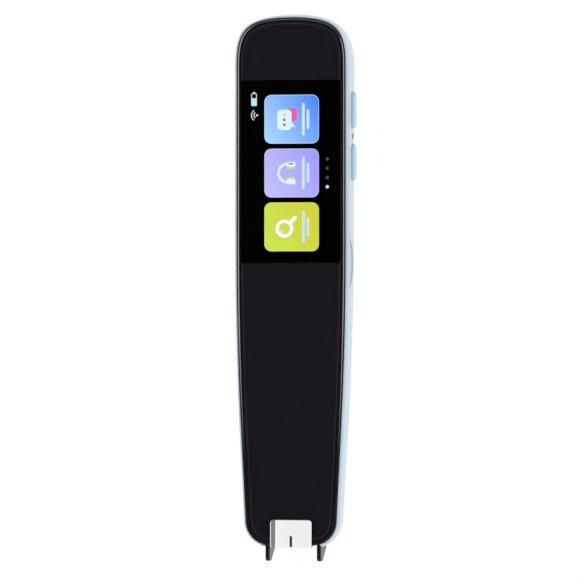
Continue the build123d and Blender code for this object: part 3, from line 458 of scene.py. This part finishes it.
NODE_MATERIALS = {
    "back_shell": shell_plastic, "upper_key": key_plastic, "lower_key": key_plastic,
    "talk_key": talk_plastic_painted_shade, "front_frame": frame_plastic_with_painted_blue, "glass_bond": boot_rubber,
    "cover_glass": cover_clear, "window_plate": plate_clear, "centre_mark": mark_paint,
    "scan_fork": fork_plastic, "scan_window": plate_clear, "return_spring": spring_steel,
    "display_panel": display_black, "display_light_guide": diffuser_plastic,
    "display_tray": thin_steel, "display_flex": amber_film,
    "head_housing": frame_plastic_with_painted_blue, "lens_barrel": frame_plastic_with_painted_blue, "lens": lens_clear,
    "sensor_board": solder_mask, "image_sensor": chip_epoxy, "camera_flex": amber_film,
    "led_board": solder_mask, "scan_leds": led_package, "head_screws": screw_steel,
    "trigger_switch": chip_epoxy, "trigger_flex": amber_film,
    "key_board": solder_mask, "key_switches": thin_steel, "key_flex": amber_film,
    "microphone": thin_steel, "microphone_boot": boot_rubber,
    "main_board": solder_mask, "shield_can": thin_steel, "processor_chips": chip_epoxy,
    "board_connectors": connector_plastic, "wireless_module": thin_steel, "antenna": antenna_film,
    "usb_receptacle": receptacle_steel, "usb_tongue": tongue_plastic,
    "speaker_mesh": black_mesh, "speaker_gasket": grey_foam, "speaker": speaker_plastic,
    "battery": pouch_foil, "battery_foam": grey_foam, "protection_board": solder_mask,
    "battery_leads": lead_rubber, "frame_screws": screw_steel, "board_screws": screw_steel,
}
for name, material in NODE_MATERIALS.items():
    nodes[name].data.materials.clear()
    nodes[name].data.materials.append(material)


# Flat outlines, as lists of points that run anticlockwise

ROUND_STEPS = 8


def arc(centre, radius, start, end, steps):
    """Points on an arc, both ends included."""
    turns = [start + (end - start) * i / steps for i in range(steps + 1)]
    return [(centre[0] + radius * cos(t), centre[1] + radius * sin(t)) for t in turns]


def disc(centre, radius, steps=20):
    """A full circle."""
    return arc(centre, radius, 0, 2 * pi, steps)[:-1]


def rounded(centre, width, height, radius):
    """A rectangle with round corners."""
    x, y = width / 2 - radius, height / 2 - radius
    points = []
    for quarter, (dx, dy) in enumerate(((x, y), (-x, y), (-x, -y), (x, -y))):
        start = quarter * QUARTER
        points += arc((centre[0] + dx, centre[1] + dy), radius, start, start + QUARTER, ROUND_STEPS)
    return points


def bow(centre, radius, width, start, end, steps=24):
    """A thick arc with round ends."""
    outer = arc(centre, radius + width / 2, start, end, steps)
    inner = arc(centre, radius - width / 2, end, start, steps)
    tip = (centre[0] + radius * cos(end), centre[1] + radius * sin(end))
    root = (centre[0] + radius * cos(start), centre[1] + radius * sin(start))
    tip_cap = arc(tip, width / 2, end, end + pi, ROUND_STEPS)[1:-1]
    root_cap = arc(root, width / 2, start + pi, start + 2 * pi, ROUND_STEPS)[1:-1]
    return outer + tip_cap + inner + root_cap


def bar(first, second, width):
    """A straight stroke with round ends."""
    turn = atan2(second[1] - first[1], second[0] - first[0])
    far = arc(second, width / 2, turn - QUARTER, turn + QUARTER, ROUND_STEPS)
    near = arc(first, width / 2, turn + QUARTER, turn + 3 * QUARTER, ROUND_STEPS)
    return far + near


def inset(points, margin):
    """An outline moved inwards by an even margin."""
    moved = []
    for i, point in enumerate(points):
        before = (Vector(point) - Vector(points[i - 1])).normalized()
        after = (Vector(points[(i + 1) % len(points)]) - Vector(point)).normalized()
        inward = Vector((-before.y - after.y, before.x + after.x)).normalized()
        reach = margin / max(MITRE_LIMIT, inward.dot(Vector((-after.y, after.x))))
        moved.append((point[0] + inward.x * reach, point[1] + inward.y * reach))
    return moved


def base_loop(name):
    """The outline of a CAD node's lowest flat face, as flat points in order."""
    shape = bmesh.new()
    shape.from_mesh(nodes[name].data)
    bmesh.ops.remove_doubles(shape, verts=shape.verts, dist=TINY)
    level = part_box(name)[0].z
    flat = {f for f in shape.faces if all(abs(v.co.z - level) < TINY for v in f.verts)}
    rim = [e for e in shape.edges if sum(f in flat for f in e.link_faces) == 1]
    ways = {}
    for edge in rim:
        for vert in edge.verts:
            ways.setdefault(vert, []).append(edge)
    start = rim[0].verts[0]
    vert, edge, points = start, ways[start][0], []
    while True:
        points.append((vert.co.x, vert.co.y))
        vert = edge.other_vert(vert)
        if vert == start:
            break
        edge = next(e for e in ways[vert] if e != edge)
    shape.free()
    area = sum(a[0] * b[1] - b[0] * a[1] for a, b in zip(points, points[1:] + points[:1]))
    return points if area > 0 else points[::-1]


# Solids from outlines

def add_walls(shape, first, second):
    """Joins two rings of vertices side by side and returns the new faces."""
    faces = []
    for i in range(len(first)):
        j = (i + 1) % len(first)
        faces.append(shape.faces.new((first[i], first[j], second[j], second[i])))
    return faces


def add_skin(shape, rings):
    """Joins a row of rings into one closed skin with a face at each end."""
    shape.faces.new(rings[0][::-1])
    shape.faces.new(rings[-1])
    return [add_walls(shape, first, second) for first, second in zip(rings, rings[1:])]


def add_prism(shape, outline, low, high):
    """Adds a closed prism to a bmesh."""
    add_skin(shape, [[shape.verts.new((x, y, z)) for x, y in outline] for z in (low, high)])


def add_band(shape, outer, inner, low, high):
    """Adds a closed flat ring between two outlines with the same number of points."""
    sides = ((outer, low), (outer, high), (inner, high), (inner, low))
    rings = [[shape.verts.new((x, y, z)) for x, y in line] for line, z in sides]
    for first, second in zip(rings, rings[1:] + rings[:1]):
        add_walls(shape, first, second)


def mesh_from(shape, name):
    """Turns a bmesh into a mesh whose faces look outwards."""
    bmesh.ops.recalc_face_normals(shape, faces=shape.faces)
    mesh = bpy.data.meshes.new(name)
    shape.to_mesh(mesh)
    shape.free()
    return mesh


def object_from(data, name):
    """Puts a mesh, a lamp or a camera in the scene."""
    thing = bpy.data.objects.new(name, data)
    bpy.context.scene.collection.objects.link(thing)
    return thing


def piece_from(shape, name, material, smooth_angle=None):
    """Turns a bmesh into a piece that rides on the pen's body."""
    mesh = mesh_from(shape, name)
    if smooth_angle:
        mesh.polygons.foreach_set("use_smooth", [True] * len(mesh.polygons))
        mesh.set_sharp_from_angle(angle=smooth_angle)
    mesh.materials.append(material)
    piece = object_from(mesh, name)
    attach(piece, PEN_BODY)
    return piece


def layer(name, material, outlines, low, high):
    """A thin flat piece made of separate outlines at one level."""
    shape = bmesh.new()
    for outline in outlines:
        add_prism(shape, outline, low, high)
    return piece_from(shape, name, material)


def cut(piece, outlines, low, high):
    """Cuts prisms out of a piece, from below the low level to above the high one."""
    shape = bmesh.new()
    for outline in outlines:
        add_prism(shape, outline, low - OVERRUN, high + OVERRUN)
    cutter = object_from(mesh_from(shape, "cutter"), "cutter")
    step = piece.modifiers.new("cut", "BOOLEAN")
    step.operation = "DIFFERENCE"
    step.solver = "EXACT"
    step.object = cutter
    result = bpy.data.meshes.new_from_object(piece.evaluated_get(bpy.context.evaluated_depsgraph_get()))
    piece.modifiers.clear()
    piece.data = result
    bpy.data.objects.remove(cutter)


# Cover glass and what is printed or laid on it

def notch_outline(half, top, corner):
    """A slot that runs out past the tip, with round corners at its inner end."""
    return rounded((0, top - NOTCH_RUN / 2), 2 * half, NOTCH_RUN, corner)


glass_low, glass_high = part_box("cover_glass")
plate_low, plate_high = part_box("window_plate")
panel_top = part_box("display_panel")[1].z
print_low = panel_top + PRINT_LIFT

notch_half = plate_high.x + NOTCH_GAP
notch_top = plate_high.y + NOTCH_GAP
notch = notch_outline(notch_half, notch_top, NOTCH_CORNER)
screen = rounded(
    (WINDOW_X, (WINDOW_LOW + WINDOW_HIGH) / 2), 2 * WINDOW_HALF, WINDOW_HIGH - WINDOW_LOW, WINDOW_CORNER
)

# The glass's outline without the points of its notch, which is cut again once the rim is curved
glass_loop = [
    (x, y) for x, y in base_loop("cover_glass")
    if abs(x) >= notch_half + CLOSE or not glass_low.y + CLOSE < y < notch_top + NOTCH_CORNER
]


def rim_tilt(margin):
    """The tilt of the glass at a distance from its edge, in radians."""
    for (near, steep), (far, flat) in zip(RIM_TILTS, RIM_TILTS[1:]):
        if margin <= far:
            return radians(steep + (flat - steep) * (margin - near) / (far - near))
    return 0.0


def rim_profile():
    """Distances from the edge and levels of the glass, from the foot of its wall to its flat top."""
    count = round(RIM_TILTS[-1][0] / RIM_STEP)
    top = [(RIM_STEP * count, glass_high.z)]
    for i in range(count - 1, -1, -1):
        margin, level = top[-1]
        top.append((RIM_STEP * i, level - RIM_STEP * tan(rim_tilt(margin - RIM_STEP / 2))))
    foot = glass_low.z + GLASS_LIFT
    return [(RIM_FOOT, foot), (0.0, foot + RIM_FOOT)] + top[::-1]


def curved_cover():
    """The cover glass: flat on top, with a rim that curves down to a short upright edge."""
    shape = bmesh.new()
    profile = rim_profile()
    rings = [
        [shape.verts.new((x, y, level)) for x, y in inset(glass_loop, margin)] for margin, level in profile
    ]
    for faces, (margin, _) in zip(add_skin(shape, rings), profile[1:]):
        for face in faces:
            face.material_index = int(0 < margin < RIM_GLOSS)
    piece = piece_from(shape, "curved_cover_glass", cover_clear, RIM_SMOOTH)
    piece.data.materials.append(rim_gloss)
    cut(piece, [notch], glass_low.z, glass_high.z)
    for face in piece.data.polygons:
        x, y, _ = face.center
        if abs(face.normal.z) < UPRIGHT and abs(x) < notch_half + CLOSE and y < notch_top + CLOSE:
            face.material_index = 1
    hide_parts("cover_glass")


def printed_border():
    """Black print behind the glass, open over the display and the tip's notch."""
    face = inset(glass_loop, PRINT_INSET)
    piece = layer("back_print", back_ink, [face], print_low, print_low + PRINT_THICK)
    cut(piece, [screen, notch], print_low, glass_high.z)


def rim_line():
    """A fine painted line where the rim starts to curve, standing in for the change of reflection there."""
    low = print_low + PRINT_THICK + LINE_THICK / 4
    shape = bmesh.new()
    outer, inner = inset(glass_loop, LINE_INSET), inset(glass_loop, LINE_INSET + LINE_WIDTH)
    add_band(shape, outer, inner, low, low + LINE_THICK)
    piece = piece_from(shape, "painted_rim_curve_line", painted_rim_line_ink)
    cut(piece, [screen, notch], glass_low.z, glass_high.z)


def window_seal():
    """A thin dark seal on the window plate, along the sides and the inner end of the notch."""
    low = plate_high.z + SEAL_LIFT
    high = low + SEAL_THICK
    piece = layer("window_seal", seal_rubber, [notch], low, high)
    opening = notch_outline(notch_half - SEAL_SIDE, notch_top - SEAL_END, NOTCH_CORNER - SEAL_SIDE)
    foot = plate_low.y + SEAL_SIDE
    sides = ((-1, foot - NOTCH_RUN), (1, foot - NOTCH_RUN), (1, foot), (-1, foot))
    past_foot = [(side * NOTCH_RUN, y) for side, y in sides]
    cut(piece, [opening], low, high)
    cut(piece, [past_foot], low, high)


curved_cover()
printed_border()
rim_line()
window_seal()


# Sound slot between the two round keys

def sound_slot():
    """A dark slotted insert over the microphone's hole, let into the side of the shell."""
    upper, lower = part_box("upper_key"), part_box("lower_key")
    centre = ((upper[0].y + lower[1].y) / 2, (upper[0].z + upper[1].z) / 2)
    width = SLOT_WIDTH - 2 * SLOT_RIM
    outer = rounded(centre, SLOT_LENGTH, SLOT_WIDTH, SLOT_WIDTH * SLOT_ROUND_SHARE)
    inner = rounded(centre, SLOT_LENGTH - 2 * SLOT_RIM, width, width * SLOT_ROUND_SHARE)
    shape = bmesh.new()
    add_band(shape, outer, inner, SLOT_FACE - SLOT_DEPTH, SLOT_FACE)
    add_prism(shape, inner, SLOT_FACE - SLOT_DEPTH, SLOT_FACE - SLOT_SINK)
    for vert in shape.verts:
        vert.co = (vert.co.z, vert.co.x, vert.co.y)
    piece_from(shape, "sound_slot_insert", slot_plastic)


sound_slot()


# Return spring

def return_coil():
    """The return spring: an open coil of wire, in the place of the CAD spring."""
    low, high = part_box("return_spring")
    middle = (low + high) / 2
    radius = (high.x - low.x) / 2 - WIRE_R
    rise = high.y - low.y - 2 * WIRE_R
    count = SPRING_TURNS * SPRING_STEPS
    climb = rise / (2 * pi * SPRING_TURNS)
    shape = bmesh.new()
    rings = []
    for k in range(count + 1):
        turn = 2 * pi * k / SPRING_STEPS
        outward = Vector((cos(turn), 0, sin(turn)))
        along = Vector((-radius * sin(turn), climb, radius * cos(turn))).normalized()
        across = along.cross(outward)
        centre = Vector((middle.x, low.y + WIRE_R + rise * k / count, middle.z))
        ring = disc((0, 0), WIRE_R, WIRE_SIDES)
        rings.append([shape.verts.new(centre + outward * (radius + u) + across * v) for u, v in ring])
    add_skin(shape, rings)
    piece = piece_from(shape, "return_coil", spring_steel, WIRE_SMOOTH)
    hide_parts("return_spring")
    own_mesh(piece)


return_coil()


# Screen contents. Pictograms and symbols are drawn in millimetres, to the right and up

ui_low = panel_top + UI_LIFT
WHITE = colour(250, 250, 252)
GREY = colour(66, 74, 84)
CYAN_WHITE = colour(218, 244, 250)
PINK = colour(240, 96, 150)
LIME = colour(206, 232, 104)
ROSE = colour(176, 92, 104)

# Each tile has a colour at its low X and Y, one at its high X and Y, and one for its rim
TILE_LOOKS = {
    "upper": (colour(172, 214, 255), colour(58, 126, 250), colour(196, 226, 255)),
    "middle": (colour(196, 192, 255), colour(154, 150, 250), colour(214, 212, 255)),
    "lower": (colour(200, 228, 84), colour(210, 206, 52), colour(222, 240, 140)),
}


def on_screen(outline, x, y, unit=1.0):
    """An outline drawn in the screen's directions and in a unit, put on the pen with its zero at x, y."""
    return [(x - up * unit, y + right * unit) for right, up in outline]


def speech_icon():
    """A speech bubble with three dots over a smaller bubble."""
    x, y, dot_pitch = -0.2, 0.6, 1.4
    back = rounded((1.3, -1.7), 3.6, 2.6, 0.8)
    bubble = rounded((x, y), 5.8, 4.2, 1.2)
    tail = [(-1.9, -1.2), (-2.4, -2.7), (-0.3, -1.2)]
    dots = [disc((x + k * dot_pitch, y), 0.4) for k in (-1, 0)]
    last_dot = disc((x + dot_pitch, y), 0.55)
    return [(PINK, [back]), (CYAN_WHITE, [bubble, tail]), (ROSE, dots), (LIME, [last_dot])]


def headphone_icon():
    """Headphones seen from the front."""
    ear_level = -1.3
    band = bow((0, -0.3), 2.6, 0.7, 0, pi)
    cups = [rounded((side * 2.45, ear_level), 1.5, 2.7, 0.6) for side in (-1, 1)]
    pads = [rounded((side * 1.5, ear_level), 0.55, 1.9, 0.2) for side in (-1, 1)]
    stripe = rounded((2.6, ear_level), 0.4, 1.3, 0.18)
    return [(CYAN_WHITE, [band]), (CYAN_WHITE, cups), (LIME, pads), (ROSE, [stripe])]


def magnifier_icon():
    """A magnifier with a glint. Its ring stops a hair short of closing."""
    centre, slit = (-0.5, 0.6), 0.001
    ring = bow(centre, 2.1, 0.95, slit, 2 * pi - slit, 48)
    handle = bar((1.25, -1.15), (2.6, -2.5), 1.1)
    glint = bow(centre, 1.1, 0.3, radians(110), radians(170))
    return [(WHITE, [handle]), (WHITE, [ring]), (CYAN_WHITE, [glint])]


def show_tile(name, row, icon):
    """One tile with a lighter rim, a pictogram and two short bars under it."""
    near, far, rim = TILE_LOOKS[name]
    y = MIDDLE_TILE_Y + row * TILE_PITCH
    top = ui_low + LAYER
    face = on_screen(rounded((0, 0), TILE_WIDTH, TILE_HEIGHT, TILE_CORNER), TILES_X, y)
    layer(name + "_tile", lit(name + "_tile_light", near, far), [face], ui_low, top)
    shape = bmesh.new()
    inner = rounded((0, 0), TILE_WIDTH - 2 * TILE_RIM, TILE_HEIGHT - 2 * TILE_RIM, TILE_CORNER - TILE_RIM)
    add_band(shape, face, on_screen(inner, TILES_X, y), top, top + RIM_LAYER)
    piece_from(shape, name + "_tile_rim", lit(name + "_rim_light", rim, scaled(near, 1.05)))
    for step, (shade, outlines) in enumerate(icon(), 1):
        placed = [on_screen(outline, TILES_X + ICON_X, y, MM) for outline in outlines]
        light = lit(f"{name}_pictogram_light_{step}", shade)
        level = ui_low + step * LAYER
        layer(f"{name}_pictogram_{step}", light, placed, level, level + LAYER)
    bars = [
        on_screen(bar((-half, 0), (half, 0), BAR_WIDTH), TILES_X + BAR_X + k * BAR_PITCH, y)
        for k, half in enumerate(BAR_HALVES)
    ]
    light = lit(name + "_label_light", scaled(CYAN_WHITE, 0.86))
    layer(name + "_label_bars", light, bars, top, top + LAYER)


def show_battery():
    """Battery outline with a narrow nub at its right and a filled part at its left."""
    outlines = (
        rounded((-0.2, 0), 3.6, 1.66, 0.4),
        rounded((-0.15, 0), 3.14, 1.2, 0.16),
        [(1.5, -0.4), (1.98, -0.24), (1.98, 0.24), (1.5, 0.4)],
        rounded((-0.78, 0), 2.0, 1.22, 0.12),
    )
    case, hollow, nub, charge = (on_screen(outline, BATTERY_X, BATTERY_Y, MM) for outline in outlines)
    shape = bmesh.new()
    add_band(shape, case, hollow, ui_low, ui_low + LAYER)
    add_prism(shape, nub, ui_low, ui_low + NUB_LAYER)
    piece_from(shape, "battery_symbol", lit("battery_symbol_light", colour(206, 220, 230)))
    light = lit("battery_charge_light", colour(186, 232, 240))
    layer("battery_charge", light, [charge], ui_low, ui_low + CHARGE_LAYER)


def show_wifi():
    """Wireless symbol: a dot under two arcs, each with a radius and half an opening in degrees."""
    foot = (0, -0.8)
    waves = [
        bow(foot, radius, 0.25, QUARTER - radians(half), QUARTER + radians(half))
        for radius, half in ((0.88, 50), (1.62, 54))
    ]
    outlines = [on_screen(outline, WIFI_X, WIFI_Y, MM) for outline in [disc(foot, 0.28)] + waves]
    light = lit("wireless_symbol_light", colour(222, 232, 244))
    layer("wireless_symbol", light, outlines, ui_low, ui_low + LAYER)


def show_page_dots():
    """A row of page dots, of which the first is bright."""
    for k in range(PAGES):
        spot = on_screen(disc((0, 0), DOT_R, 24), DOTS_X, DOTS_Y + (k - (PAGES - 1) / 2) * DOTS_PITCH)
        shade = colour(214, 232, 252) if k == 0 else GREY
        layer(f"page_dot_{k + 1}", lit(f"page_dot_light_{k + 1}", shade), [spot], ui_low, ui_low + LAYER)


show_tile("upper", 1, speech_icon)
show_tile("middle", 0, headphone_icon)
show_tile("lower", -1, magnifier_icon)
show_battery()
show_wifi()
show_page_dots()


# Studio: pale floor, soft boxes on four sides and a world that is bright low down and dark overhead

def stage_floor():
    """A wide pale floor with the pen's soft shadow on it, seen as white from above and open from below."""
    corners = ((-1, -1), (1, -1), (1, 1), (-1, 1))
    mesh = bpy.data.meshes.new("floor")
    mesh.from_pydata([(x * FLOOR_HALF, y * FLOOR_HALF, -FLOOR_GAP) for x, y in corners], [], [(0, 1, 2, 3)])
    paint = Paint("floor_paper", colour(240, 240, 240), 0.85)
    path = paint.add("LightPath").outputs
    seen = path["Is Camera Ray"]
    for kind in ("Is Glossy Ray", "Is Transmission Ray"):
        seen = paint.add("Math", {0: seen, 1: path[kind]}, operation="MAXIMUM").outputs[0]
    share = paint.add("Math", {0: seen, 1: FLOOR_GLOW_SHARE}, operation="MULTIPLY").outputs[0]
    glow = paint.add("Emission", {"Color": FULL_WHITE, "Strength": FLOOR_GLOW}).outputs[0]
    paper = paint.add("MixShader", {0: share, 1: paint.shader.outputs[0], 2: glow}).outputs[0]
    below = paint.add("NewGeometry").outputs["Backfacing"]
    through = paint.add("BsdfTransparent").outputs[0]
    paint.show(paint.add("MixShader", {0: below, 1: paper, 2: through}).outputs[0])
    mesh.materials.append(paint.material)
    object_from(mesh, "floor")


def studio_world():
    """White at the horizon and nearly black straight up."""
    world = bpy.data.worlds.new("studio")
    world.use_nodes = True
    tree = world.node_tree
    place = tree.nodes.new("ShaderNodeTexCoord")
    split = tree.nodes.new("ShaderNodeSeparateXYZ")
    ramp = tree.nodes.new("ShaderNodeValToRGB")
    stops = ramp.color_ramp.elements
    stops.new(WORLD_STOPS[1][0])
    for stop, (height, grey) in zip(stops, WORLD_STOPS):
        stop.position = height
        stop.color = (grey, grey, grey, 1.0)
    tree.links.new(place.outputs["Generated"], split.inputs[0])
    tree.links.new(split.outputs["Z"], ramp.inputs["Fac"])
    tree.links.new(ramp.outputs["Color"], tree.nodes["Background"].inputs["Color"])
    tree.nodes["Background"].inputs["Strength"].default_value = 1.0
    bpy.context.scene.world = world


def soft_box(name, place, size, power):
    """A rectangular lamp that points at the pen."""
    data = bpy.data.lights.new(name, "AREA")
    data.shape = "RECTANGLE"
    data.size, data.size_y = size
    data.energy = power
    lamp = object_from(data, name)
    lamp.location = place
    lamp.rotation_euler = (-Vector(place)).to_track_quat("-Z", "Y").to_euler()


def place_camera():
    """A long lens above the pen, whose long axis stands upright in the picture."""
    data = bpy.data.cameras.new("camera")
    data.sensor_width = SENSOR_WIDTH
    data.lens = SENSOR_WIDTH * CAMERA_DISTANCE / FRAME_WIDTH
    camera = object_from(data, "camera")
    camera.location = AIM + CAMERA_DISTANCE * Vector((sin(CAMERA_TURN), 0, cos(CAMERA_TURN)))
    camera.rotation_euler = (0, CAMERA_TURN, 0)
    bpy.context.scene.camera = camera


stage_floor()
studio_world()
for name, (place, size, power) in SOFT_BOXES.items():
    soft_box(name, place, size, power)
place_camera()
bpy.context.scene.view_settings.view_transform = "Standard"
